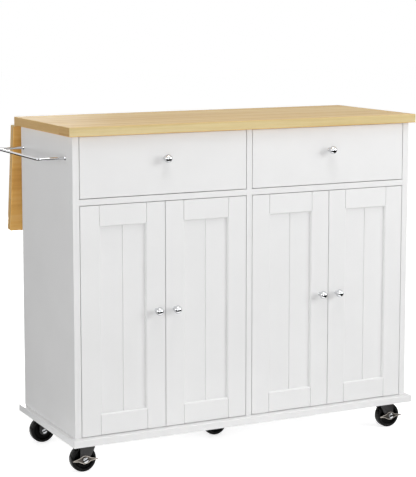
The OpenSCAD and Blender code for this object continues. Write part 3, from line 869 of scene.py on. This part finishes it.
@dataclass
class Caster:
    """A swivel caster: fork, wheel, axle bolt and, on the front pair, a brake lever.

    Sizes are in millimetres and turns in degrees. The legs reach leg_out from the wheel's middle,
    lever is the lever's thickness and pressed the depth of its front, which is made up of the
    faces that look forward squarely. The CAD bolt head is thinned to a share of its height.
    """

    name: str
    braked: bool = False
    half_width: float = 12.5
    facets: int = 72
    tread: float = 8.0
    leg_out: float = 17.0
    lever: float = 3.2
    head_radius: float = 7.3
    head_height: float = 5.05
    slot: float = 3.8
    slot_turn: float = 20.0
    thinned: float = 0.05
    nut_radius: float = 7.9
    nut_height: float = 4.3
    nut_turn: float = 30.0
    ease: float = 0.5
    rim: float = 1.5
    pressed: float = 0.4
    squarely: float = 0.93

    def build(self) -> None:
        """Dresses the fork and brake, and turns the wheel and the axle's hardware."""
        fork, wheel = f"caster_{self.name}_fork", f"caster_{self.name}_wheel"
        axle = sum(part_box(wheel), Vector()) / 2
        seat = axle + FRONT * (self.leg_out + self.braked * self.lever) * MM
        make_piece(fork + "_pressed", [(self.press_fork(fork, seat), Matrix())], ENAMEL, fork,
                   fork)
        if self.braked:
            lever = f"caster_{self.name}_brake"
            make_piece(lever + "_pressed", [(self.press_lever(lever), Matrix())], GUNMETAL, lever,
                       lever)
        self.turn_wheel(wheel)
        self.fit_axle(fork, seat, axle + BACK * self.leg_out * MM)

    def press_fork(self, node: str, seat: Vector) -> BMesh:
        """Eases the fork and thins the CAD bolt head, so that the turned one covers it.

        Args:
            node: the fork's CAD node.
            seat: where the bolt's head stands, on the axle.

        Returns:
            The fork's mesh, in place.
        """
        bm = eased(node, self.ease)
        for vert in bm.verts:
            reach = vert.co - seat
            if reach.y < 0.0 and reach.xz.length < self.head_radius * MM:
                vert.co.y = seat.y + reach.y * self.thinned
        return bm

    def press_lever(self, node: str) -> BMesh:
        """Eases the lever and presses its front in, so that a narrow rim stands round it in the
        lever's light grey, a painted highlight.

        Args:
            node: the lever's CAD node.

        Returns:
            The lever's mesh, in place, with its sunk faces marked.
        """
        bm = eased(node, self.ease)
        mark = bm.faces.layers.float.new(SUNK)
        front = [face for face in bm.faces if face.normal.dot(FRONT) > self.squarely]
        bmesh.ops.inset_region(bm, faces=front, thickness=self.rim * MM,
                               depth=-self.pressed * MM, use_even_offset=True)
        for face in front:
            face[mark] = 1.0
        return bm

    def turn_wheel(self, node: str) -> None:
        """Turns the nylon centre and the rubber tread in place of the CAD wheel.

        Args:
            node: the wheel's CAD node.
        """
        low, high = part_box(node)
        radius = (high.z - low.z) / 2 / MM
        hub = (high.y - low.y) / 2 / MM
        half = self.half_width
        rim = radius - self.tread
        place = facing((low + high) / 2, FRONT)
        centre = [(4.05, hub), (8.6, hub), (9.2, hub - 0.5), (10.0, half - 3.6), (11.0, half - 4.6),
                  (rim - 3.4, half - 4.6), (rim - 2.4, half - 3.8), (rim - 1.6, half - 1.4),
                  (rim - 0.6, half - 0.9), (rim + 0.4, half - 0.9)]
        tread = [(rim, half - 4.0), (rim, half - 0.6), (rim + 1.2, half - 0.1),
                 (radius - 5.0, half), (radius - 2.6, half - 0.6), (radius - 1.0, half - 2.2),
                 (radius - 0.35, half - 4.6), (radius, half - 8.0)]
        for part, side, finish, stands_for in (("_centre", centre, NYLON, node),
                                               ("_tread", tread, RUBBER, "")):
            both = side + [(r, -h) for r, h in reversed(side)]
            wheel = turned(both, self.facets, ring=True)
            make_piece(node + part, [(wheel, place)], finish, node, stands_for)

    def fit_axle(self, fork: str, seat: Vector, end: Vector) -> None:
        """Stands the slotted bolt head in front of the fork and the nut behind it.

        Args:
            fork: the fork's CAD node.
            seat: where the head stands, on the axle.
            end: where the nut stands.
        """
        turn = Matrix.Rotation(math.radians(self.slot_turn), 4, "Z")
        level = Matrix.Rotation(math.radians(self.nut_turn), 4, "Z")
        head = slotted_bolt_head(self.head_radius, self.head_height, self.slot)
        nut = hexagon_nut(self.nut_radius, self.nut_height)
        parts = [(head, facing(seat, FRONT) @ turn), (nut, facing(end, BACK) @ level)]
        make_piece(fork + "_axle_bolt", parts, BOLT_ZINC, fork)


@dataclass
class Cabinet:
    """The fixed carcass, worktop, hinges and slides.

    The numbers place the screws of the strut plates, hinge arms, slides and leaf hinges: half is
    half a plate's width, column and row are distances from its middle, or a leaf hinge's row from
    its inner edge, and sheet and web are thicknesses, in millimetres.
    """

    white: tuple[str, ...] = ("base_board", "left_side", "right_side", "centre_divider",
                              "front_rails", "rear_rails")
    inner: tuple[str, ...] = ("back_panels", "shelves")
    zinc: tuple[str, ...] = ("shelf_pins", "slide_channels", "hinge_arms", "leaf_hinge_plates",
                             "strut_plates")
    strut_half: float = 19.0
    strut_column: float = 12.0
    strut_sheet: float = 2.5
    strut_foot: float = 6.0
    strut_head: tuple[float, float] = (8.0, 24.0)
    arm_back: float = 54.0
    arm_row: float = 14.0
    arm_proud: float = 3.4
    cup_to_end: float = 24.0
    slide_web: float = 1.2
    slide_screws: tuple[float, ...] = (0.1, 0.45, 0.9)
    leaf_half: float = 30.0
    leaf_column: float = 20.0
    leaf_row: float = 8.0
    leaf_sheet: float = 1.5

    def build(self) -> None:
        """Dresses every fixed CAD node and adds the screws."""
        for nodes, finish in ((self.white, WHITE), (self.inner, MELAMINE), (self.zinc, ZINC)):
            for node in nodes:
                dress(node, finish)
        dress("screw_caps", CAP)
        dress("caster_plates", ENAMEL)
        dress("worktop", OAK_TOP)
        TowelRail().build()
        self.screw_strut_plates()
        self.screw_hinge_arms()
        self.screw_slides()
        self.screw_leaf_hinges()

    def walls(self) -> list[tuple[float, Vector]]:
        """Gives the four walls of the two compartments, left to right.

        Returns:
            The x of each wall's face, and the way that it looks.
        """
        low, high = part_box("centre_divider")
        return [(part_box("left_side")[1].x, RIGHT), (low.x, LEFT), (high.x, RIGHT),
                (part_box("right_side")[0].x, LEFT)]

    def screw_strut_plates(self) -> None:
        """Adds the screws of the two strut plates, in two columns each."""
        low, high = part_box("strut_plates")
        screws = ScrewSet("strut_plate_screws", "cabinet")
        half, column = self.strut_half * MM, self.strut_column * MM
        heights = [low.z + self.strut_foot * MM] + [high.z - down * MM for down in self.strut_head]
        for x in (low.x + half, high.x - half):
            for dx in (-column, column):
                for z in heights:
                    screws.add(Vector((x + dx, low.y + self.strut_sheet * MM, z)), BACK)
        screws.build()

    def screw_hinge_arms(self) -> None:
        """Adds the two screws that hold each hinge arm's plate, on their washers."""
        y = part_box("left_side")[0].y + self.arm_back * MM
        cup, row = self.cup_to_end * MM, self.arm_row * MM
        screws = ScrewSet("hinge_arm_screws", "cabinet", radius=3.9, height=1.2)
        for number, (face, out) in enumerate(self.walls(), 1):
            low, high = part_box(f"door_{number}_hinge_cups")
            for z in (low.z + cup, high.z - cup):
                for dz in (-row, row):
                    screws.add(Vector((face, y, z + dz)) + out * self.arm_proud * MM, out)
        screws.build()

    def screw_slides(self) -> None:
        """Adds the flat screws that hold the slide channels."""
        low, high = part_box("slide_channels")
        screws = ScrewSet("slide_screws", "cabinet", radius=3.4, height=0.45)
        for face, out in self.walls():
            for share in self.slide_screws:
                foot = Vector((face, low.y + (high.y - low.y) * share, (low.z + high.z) / 2))
                screws.add(foot + out * self.slide_web * MM, out)
        screws.build()

    def screw_leaf_hinges(self) -> None:
        """Adds the screws of the fixed hinge plates, under the worktop's overhang."""
        low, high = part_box("leaf_hinge_plates")
        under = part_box("worktop")[0].z - self.leaf_sheet * MM
        half, column = self.leaf_half * MM, self.leaf_column * MM
        screws = ScrewSet("leaf_hinge_screws", "cabinet", radius=3.2, height=1.0)
        for x in (low.x + half, (low.x + high.x) / 2, high.x - half):
            for dx in (-column, 0.0, column):
                screws.add(Vector((x + dx, low.y + self.leaf_row * MM, under)), DOWN)
        screws.build()


@dataclass
class DropLeaf:
    """The oak drop leaf with its hinge plates, guides and struts."""

    lean: float = 8.0
    plate_half: float = 30.0
    sheet: float = 1.5
    plate_screws: tuple[tuple[float, float], ...] = ((-20.0, 12.0), (0.0, 22.0), (20.0, 12.0))

    def build(self) -> None:
        """Dresses the leaf and its metalwork, and adds the screws under it."""
        dress("leaf_board", OAK_LEAF)
        dress("leaf_fittings", ZINC)
        for side in Side:
            dress("leaf_strut_" + side.value, ZINC)
        self.screw_fittings()

    def screw_fittings(self) -> None:
        """Adds the screws of the leaf's hinge plates."""
        joint = next(j for j in frame["joints"] if j["child"] == "leaf")
        place = Matrix.Translation(joint["pos_m"]) @ Matrix.Rotation(
            math.radians(self.lean - 90.0), 4, "X")
        low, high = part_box("leaf_hinge_plates")
        middle = (low.x + high.x) / 2
        reach = (high.x - low.x) / 2 - self.plate_half * MM
        down = (place.to_3x3() @ DOWN).normalized()
        screws = ScrewSet("leaf_screws", "leaf", radius=3.2, height=1.0)
        for x in (-reach, 0.0, reach):
            for dx, dy in self.plate_screws:
                foot = Vector((x + dx * MM + middle - joint["pos_m"][0], dy * MM, self.sheet * MM))
                screws.add(place @ foot, down)
        screws.build()


@dataclass(frozen=True)
class Lamp:
    """A round studio lamp."""

    name: str
    place: tuple[float, float, float]
    aim: tuple[float, float, float]
    size: float
    power: float

    def build(self) -> None:
        """Hangs the lamp and points it."""
        data = bpy.data.lights.new(self.name, "AREA")
        data.shape, data.size, data.energy = "DISK", self.size, self.power
        lamp = bpy.data.objects.new(self.name, data)
        lamp.location = self.place
        ray = Vector(self.aim) - Vector(self.place)
        lamp.rotation_euler = ray.to_track_quat("-Z", "Y").to_euler()
        bpy.context.scene.collection.objects.link(lamp)


@dataclass
class Studio:
    """Camera, lamps, world and floor. Lengths are in metres and turns in degrees."""

    eye: tuple[float, float, float] = (-1.8891, -3.7933, 1.229)
    heading: float = 26.689
    tilt: float = 7.157
    lens: float = 114.869
    sensor: float = 36.0
    drop: float = -0.10
    clip: tuple[float, float] = (0.1, 100.0)
    ambient: float = 0.24
    floor: float = 20.0
    # the floor glows less within near of the cart than beyond it: painted shade round the cart
    near: tuple[float, float] = (0.7, 2.2)
    floor_lift: tuple[float, float] = (0.70, 0.78)
    ring: tuple[float, float] = (0.62, 14.0)
    ring_height: float = 10 * MM
    lamps: tuple[Lamp, ...] = (
        Lamp("key", (3.0, -3.0, 1.9), (0.0, 0.0, 0.5), 2.4, 79.0),
        Lamp("front", (-2.4, -4.2, 0.9), (0.0, 0.0, 0.4), 2.4, 45.0),
        Lamp("side", (-4.6, -0.3, 1.3), (0.0, 0.0, 0.4), 2.0, 43.0),
        Lamp("top", (-0.3, -1.3, 3.6), (0.0, 0.0, 0.4), 2.0, 40.0),
        Lamp("back", (1.1, 4.4, 0.78), (0.0, 0.0, 0.5), 0.9, 58.0))

    def build(self) -> None:
        """Sets the studio up."""
        self.stand_camera()
        for lamp in self.lamps:
            lamp.build()
        self.light_world()
        self.lay_floor()
        self.lay_dark_ring()
        bpy.context.scene.view_settings.view_transform = "Standard"

    def stand_camera(self) -> None:
        """Stands the camera at the front left, a little above the worktop."""
        data = bpy.data.cameras.new("camera")
        data.lens, data.sensor_width, data.shift_y = self.lens, self.sensor, self.drop
        data.clip_start, data.clip_end = self.clip
        camera = bpy.data.objects.new("camera", data)
        camera.location = self.eye
        camera.rotation_euler = (math.radians(90 - self.tilt), 0.0, math.radians(-self.heading))
        bpy.context.scene.collection.objects.link(camera)
        bpy.context.scene.camera = camera

    def seen(self, tree: NodeTree) -> Node:
        """Tells the rays that see the surroundings from those that only light things.

        Args:
            tree: the node tree that needs to know.

        Returns:
            A node that gives 1 to camera, glossy and transmission rays, and 0 to the rest.
        """
        rays = add_node(tree, "LightPath").outputs
        mirrored = add_node(tree, "Math", {"operation": "MAXIMUM"},
                            {0: rays["Is Glossy Ray"], 1: rays["Is Transmission Ray"]})
        return add_node(tree, "Math", {"operation": "MAXIMUM"},
                        {0: rays["Is Camera Ray"], 1: mirrored})

    def light_world(self) -> None:
        """Shows white surroundings to camera and mirrors, and lights softly."""
        world = bpy.data.worlds.new("studio")
        world.use_nodes = True
        tree = world.node_tree
        background = tree.nodes["Background"]
        background.inputs["Color"].default_value = (1.0, 1.0, 1.0, 1.0)
        strength = add_node(tree, "MapRange", inputs={"Value": self.seen(tree),
                                                      "To Min": self.ambient, "To Max": 1.0})
        tree.links.new(strength.outputs[0], background.inputs["Strength"])
        bpy.context.scene.world = world

    def lay_floor(self) -> None:
        """Lays a white floor that glows for camera and mirrors, less round the cart: a painted
        shade there, in which its shadow shows.
        """
        bm = bmesh.new()
        bmesh.ops.create_grid(bm, x_segments=2, y_segments=2, size=self.floor)
        tree = self.lay("studio_floor", bm, FLOOR_PAINT).active_material.node_tree
        place = add_node(tree, "TexCoord").outputs["Object"]
        away = add_node(tree, "VectorMath", {"operation": "LENGTH"}, {0: place}).outputs["Value"]
        bright = add_node(tree, "MapRange", inputs={
            "Value": away, "From Min": self.near[0], "From Max": self.near[1],
            "To Min": self.floor_lift[0], "To Max": self.floor_lift[1]})
        lift = add_node(tree, "Math", {"operation": "MULTIPLY"}, {0: self.seen(tree), 1: bright})
        shader = tree.nodes["Principled BSDF"]
        shader.inputs["Emission Color"].default_value = (1.0, 1.0, 1.0, 1.0)
        tree.links.new(lift.outputs[0], shader.inputs["Emission Strength"])

    def lay_dark_ring(self) -> None:
        """Lays a dark ring round the cart that only mirrors see: it gives chrome its band."""
        bm = bmesh.new()
        bmesh.ops.create_circle(bm, segments=64, radius=self.ring[0])
        made = bmesh.ops.extrude_edge_only(bm, edges=bm.edges[:])["geom"]
        grow = self.ring[1] / self.ring[0]
        bmesh.ops.scale(bm, vec=(grow, grow, 1.0), verts=only(BMVert, made))
        bmesh.ops.translate(bm, vec=(0, 0, self.ring_height), verts=bm.verts)
        ring = self.lay("studio_ring", bm, DARK_FLOOR)
        ring.visible_camera = ring.visible_diffuse = ring.visible_shadow = False
        ring.visible_transmission = False

    def lay(self, name: str, bm: BMesh, finish: Finish) -> Object:
        """Makes a surface of the studio from a mesh.

        Args:
            name: the surface's name.
            bm: its mesh, which is freed.
            finish: its finish.

        Returns:
            The surface.
        """
        mesh = bpy.data.meshes.new(name)
        bm.to_mesh(mesh)
        bm.free()
        mesh.materials.append(finish.material())
        surface = bpy.data.objects.new(name, mesh)
        bpy.context.scene.collection.objects.link(surface)
        return surface


def main() -> None:
    """Builds the studio and every sub-assembly in order, and logs each piece."""
    logging.basicConfig(level=logging.INFO, format="%(message)s")
    assemblies = [Studio(), Cabinet(), *map(Drawer, Side),
                  Door(1, Side.LEFT), Door(2, Side.RIGHT), Door(3, Side.LEFT), Door(4, Side.RIGHT),
                  DropLeaf(), Caster("fl", braked=True), Caster("fr", braked=True),
                  Caster("bl"), Caster("br"), Caster("mid")]
    for assembly in assemblies:
        assembly.build()


if __name__ == "__main__":
    main()
